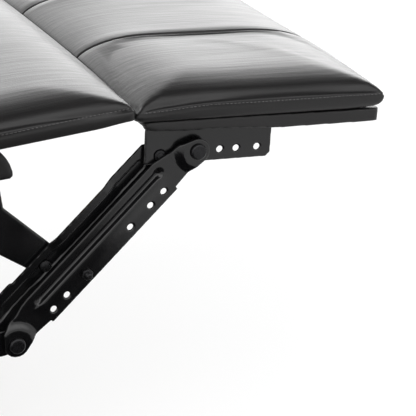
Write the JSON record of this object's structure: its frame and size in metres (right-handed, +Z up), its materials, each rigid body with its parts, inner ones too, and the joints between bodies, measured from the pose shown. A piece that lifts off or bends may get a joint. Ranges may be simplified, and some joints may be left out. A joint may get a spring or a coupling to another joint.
{
  "type": "recliner seat with folding leg rest",
  "caption": "Channelled black leather seat and leg rest of a recliner on a steel frame; the leg rest folds down on mirrored parallel links worked by a cross tube.",
  "frame": {"origin": "on the floor, under the middle of the object's box with the leg rest out", "axes": "+X points forward to the sitter's feet, +Z is up, Y = 0 is the plane of symmetry"},
  "size_m": [0.744, 0.534, 0.4615],
  "materials": {
    "leather": "semi-gloss grained",
    "painted_steel": "gloss",
    "rivet_steel": "black oxide",
    "frame_steel": "satin powder coat",
    "plywood": "bare",
    "nylon": "matt"
  },
  "bodies": {
    "root": {"seat_cushion": "leather", "seat_board": "plywood", "front_rail": "leather", "rear_rail": "plywood", "side_plate_right": "painted_steel", "side_plate_left": "painted_steel", "front_plate_bolt_right": "rivet_steel", "front_plate_bolt_left": "rivet_steel", "rear_plate_bolt_right": "rivet_steel", "rear_plate_bolt_left": "rivet_steel", "side_rail_right": "frame_steel", "side_rail_left": "frame_steel", "front_post_right": "frame_steel", "front_post_left": "frame_steel", "rear_post_right": "frame_steel", "rear_post_left": "frame_steel", "floor_rail_right": "frame_steel", "floor_rail_left": "frame_steel", "front_glide_right": "nylon", "front_glide_left": "nylon", "rear_glide_right": "nylon", "rear_glide_left": "nylon", "front_cross_tube": "frame_steel", "rear_cross_tube": "frame_steel", "bent_link_rivet_right": "rivet_steel", "bent_link_rivet_left": "rivet_steel"},
    "front_links": {"front_link_right": "painted_steel", "front_link_left": "painted_steel", "pivot_shaft": "rivet_steel", "lower_rivet_right": "rivet_steel", "lower_rivet_left": "rivet_steel", "inner_link_low_rivet_right": "rivet_steel", "inner_link_low_rivet_left": "rivet_steel"},
    "bent_links": {"bent_link_right": "painted_steel", "bent_link_left": "painted_steel"},
    "inner_links": {"inner_link_right": "painted_steel", "inner_link_left": "painted_steel", "middle_rivet_right": "rivet_steel", "middle_rivet_left": "rivet_steel", "inner_link_top_rivet_right": "rivet_steel", "inner_link_top_rivet_left": "rivet_steel"},
    "outer_links": {"outer_link_right": "painted_steel", "outer_link_left": "painted_steel", "link_stud_right": "rivet_steel", "link_stud_left": "rivet_steel", "leg_rest_rivet_right": "rivet_steel", "leg_rest_rivet_left": "rivet_steel"},
    "leg_rest": {"angle_bracket_right": "painted_steel", "angle_bracket_left": "painted_steel", "leg_board": "leather", "leg_cushion": "leather"},
    "drive": {"drive_tube": "frame_steel", "drive_crank_right": "painted_steel", "drive_crank_left": "painted_steel"},
    "drive_links": {"drive_link_right": "painted_steel", "drive_link_left": "painted_steel", "drive_link_rivet_right": "rivet_steel", "drive_link_rivet_left": "rivet_steel", "drive_crank_rivet_right": "rivet_steel", "drive_crank_rivet_left": "rivet_steel"}
  },
  "joints": [
    {"name": "leg_rest_fold", "type": "hinge", "parent": "root", "child": "front_links", "pos_m": [-0.12856, 0, 0.26102], "axis": [0, 1, 0], "range_deg": [0, 84]},
    {"name": "bent_link_pivot", "type": "hinge", "parent": "root", "child": "bent_links", "pos_m": [-0.05513, 0, 0.33547], "axis": [0, 1, 0], "range_deg": [0, 84]},
    {"name": "outer_link_pivot", "type": "hinge", "parent": "front_links", "child": "outer_links", "pos_m": [-0.01956, 0, 0.20902], "axis": [0, 1, 0], "range_deg": [-84, 0]},
    {"name": "inner_link_pivot", "type": "hinge", "parent": "front_links", "child": "inner_links", "pos_m": [-0.05656, 0, 0.20702], "axis": [0, 1, 0], "range_deg": [-84, 0]},
    {"name": "leg_rest_pivot", "type": "hinge", "parent": "outer_links", "child": "leg_rest", "pos_m": [0.17298, 0, 0.383], "axis": [0, 1, 0], "range_deg": [0, 84]},
    {"name": "drive_tube_turn", "type": "hinge", "parent": "root", "child": "drive", "pos_m": [-0.25517, 0, 0.33547], "axis": [0, 1, 0], "range_deg": [0, 84]},
    {"name": "drive_link_pivot", "type": "hinge", "parent": "bent_links", "child": "drive_links", "pos_m": [-0.06513, 0, 0.36747], "axis": [0, 1, 0], "range_deg": [-84, 0]}
  ],
  "couplings": [
    {"joint": "bent_link_pivot", "follows": "leg_rest_fold", "ratio": 1},
    {"joint": "outer_link_pivot", "follows": "leg_rest_fold", "ratio": -1},
    {"joint": "inner_link_pivot", "follows": "leg_rest_fold", "ratio": -1},
    {"joint": "leg_rest_pivot", "follows": "leg_rest_fold", "ratio": 1},
    {"joint": "drive_tube_turn", "follows": "leg_rest_fold", "ratio": 1},
    {"joint": "drive_link_pivot", "follows": "leg_rest_fold", "ratio": -1}
  ]
}
